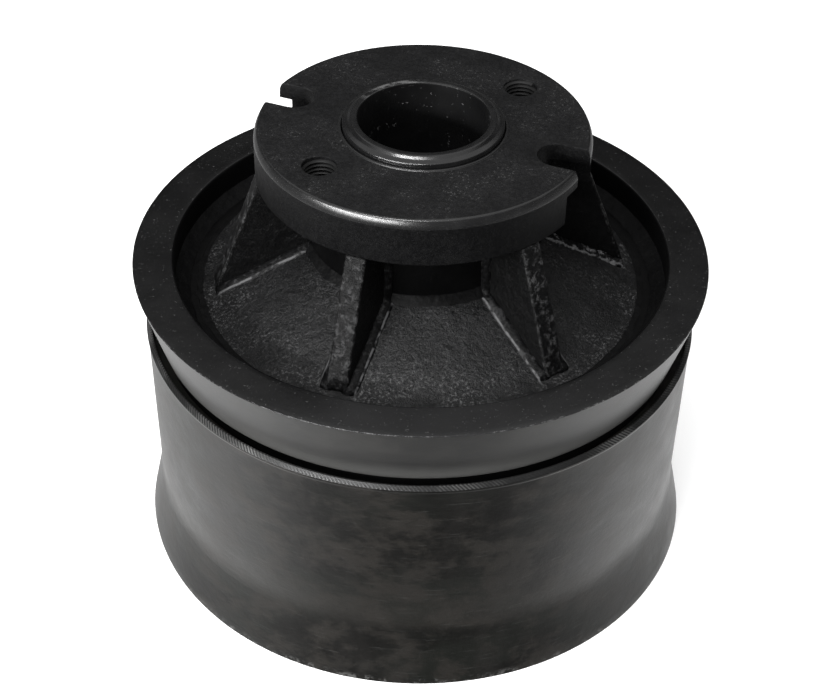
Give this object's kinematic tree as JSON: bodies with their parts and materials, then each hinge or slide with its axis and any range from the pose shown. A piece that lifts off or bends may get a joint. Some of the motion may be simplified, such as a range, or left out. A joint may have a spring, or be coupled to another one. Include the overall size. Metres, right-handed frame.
{
  "type": "track roller",
  "caption": "Fabricated steel track roller: flanged, dished and ribbed wheel with a slotted hub flange, turning on bushes round a fixed inner sleeve.",
  "frame": {"origin": "centre of the lower rim face that the roller stands on", "axes": "+Z along the axis of rotation, from the lower rim up to the hub flange; +X to the right as seen in the picture's main view, +Y away from it"},
  "size_m": [0.416, 0.416, 0.339],
  "materials": {
    "tread_steel": "turned, heat-stained bare steel",
    "black_paint": "satin black paint over plate and weld",
    "cast_black": "black paint over a rough machined face",
    "ground_steel": "dark ground steel, bright on its worn edges",
    "bronze": "machined bronze",
    "seal_steel": "lapped",
    "seal_rubber": "moulded black rubber",
    "screw_steel": "black oxide"
  },
  "bodies": {
    "fixed_sleeve": {"inner_sleeve": "ground_steel", "thrust_collar": "ground_steel", "upper_thrust_washer": "bronze", "lower_thrust_washer": "bronze", "upper_seal_carrier": "ground_steel", "upper_fixed_seal_ring": "seal_steel", "upper_fixed_toric": "seal_rubber", "lower_seal_carrier": "ground_steel", "lower_fixed_seal_ring": "seal_steel", "lower_fixed_toric": "seal_rubber"},
    "wheel": {"tread_tyre": "tread_steel", "rim_core": "black_paint", "guide_flange_ring": "black_paint", "web_backing_ring": "black_paint", "upper_web_plate": "black_paint", "lower_web_plate": "black_paint", "rib_1": "black_paint", "rib_2": "black_paint", "rib_3": "black_paint", "rib_4": "black_paint", "rib_5": "black_paint", "rib_6": "black_paint", "hub_tube": "black_paint", "hub_flange": "cast_black", "upper_bush": "bronze", "lower_bush": "bronze", "upper_turning_seal_ring": "seal_steel", "upper_turning_toric": "seal_rubber", "lower_turning_seal_ring": "seal_steel", "lower_turning_toric": "seal_rubber", "lower_hub_cap": "cast_black", "cap_screw_1": "screw_steel", "cap_screw_2": "screw_steel", "cap_screw_3": "screw_steel", "cap_screw_4": "screw_steel", "cap_screw_5": "screw_steel", "cap_screw_6": "screw_steel"}
  },
  "joints": [
    {"name": "wheel_spin", "type": "hinge", "parent": "fixed_sleeve", "child": "wheel", "pos_m": [0, 0, 0.17], "axis": [0, 0, 1], "continuous": true}
  ]
}
